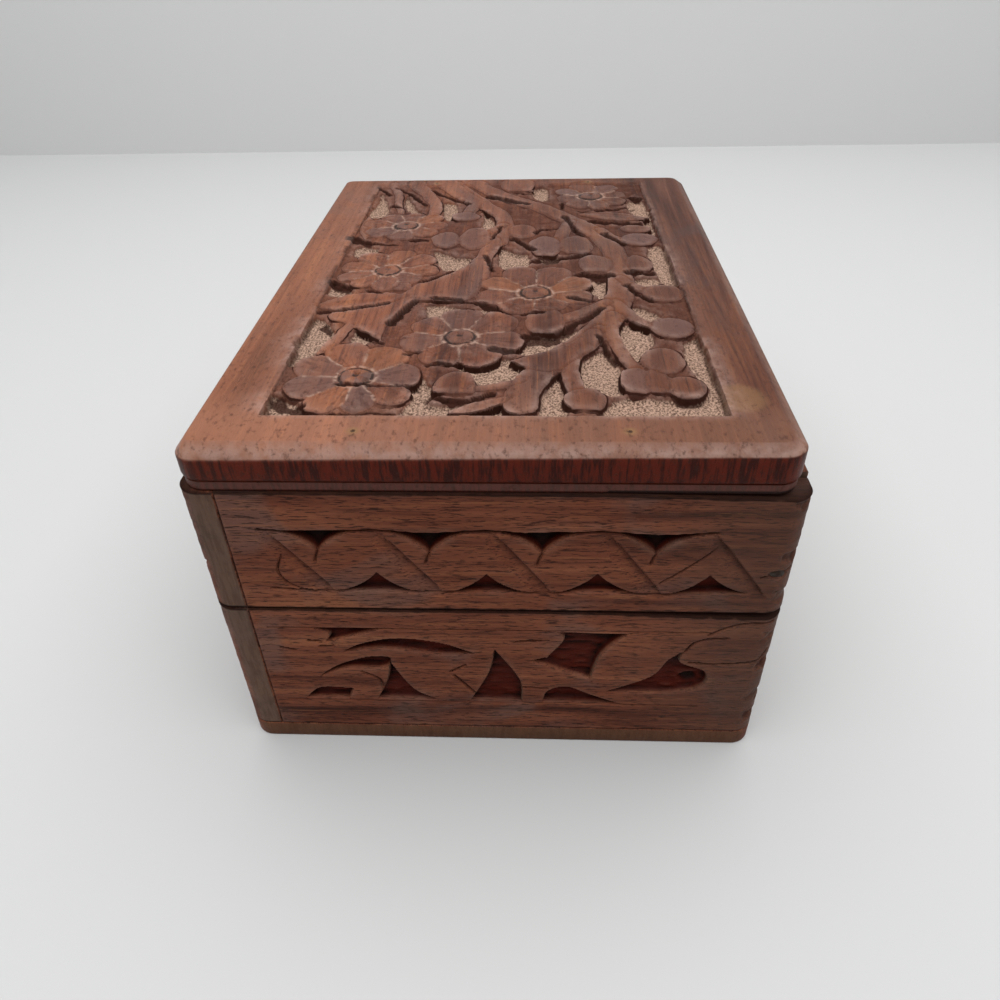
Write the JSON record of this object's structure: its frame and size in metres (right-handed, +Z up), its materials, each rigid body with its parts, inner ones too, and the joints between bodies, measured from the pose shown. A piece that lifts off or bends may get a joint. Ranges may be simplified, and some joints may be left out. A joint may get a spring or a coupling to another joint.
{
  "type": "carved keepsake box",
  "caption": "Carved hardwood keepsake box with a deep hinged lid: floral relief on the lid board, wave and leaf-scroll bands on the walls, brass butt hinges at the back.",
  "frame": {"origin": "middle of the underside of the bottom panel, in the plane that the box rests on", "axes": "+Z up, +X along the long sides to the right, front at -Y, hinges on the back at +Y"},
  "size_m": [0.1406, 0.1049, 0.0716],
  "materials": {
    "carved_rosewood": "hand-carved dark hardwood, waxed, worn at the edges",
    "lid_rosewood": "hand-carved reddish hardwood, satin polish, dusty sunk ground",
    "hinge_brass": "aged brass",
    "nail_steel": "dark wire nails"
  },
  "bodies": {
    "base": {"base_front_board": "carved_rosewood", "base_right_end_board": "carved_rosewood", "base_back_board": "carved_rosewood", "base_left_end_board": "carved_rosewood", "base_bottom_panel": "carved_rosewood", "hinge_left_base_leaf": "hinge_brass", "hinge_right_base_leaf": "hinge_brass", "hinge_left_pin": "hinge_brass", "hinge_right_pin": "hinge_brass", "hinge_base_screws": "hinge_brass", "base_corner_nails": "nail_steel", "bottom_panel_nails": "nail_steel"},
    "lid": {"lid_top_panel": "lid_rosewood", "lid_front_rail": "carved_rosewood", "lid_right_end_rail": "carved_rosewood", "lid_back_rail": "carved_rosewood", "lid_left_end_rail": "carved_rosewood", "hinge_left_lid_leaf": "hinge_brass", "hinge_right_lid_leaf": "hinge_brass", "hinge_lid_screws": "hinge_brass", "lid_corner_nails": "nail_steel", "lid_panel_brads": "nail_steel"}
  },
  "joints": [
    {"name": "lid_hinge", "type": "hinge", "parent": "base", "child": "lid", "pos_m": [0, 0.0526, 0.0367], "axis": [-1, 0, 0], "range_deg": [0, 180]}
  ]
}
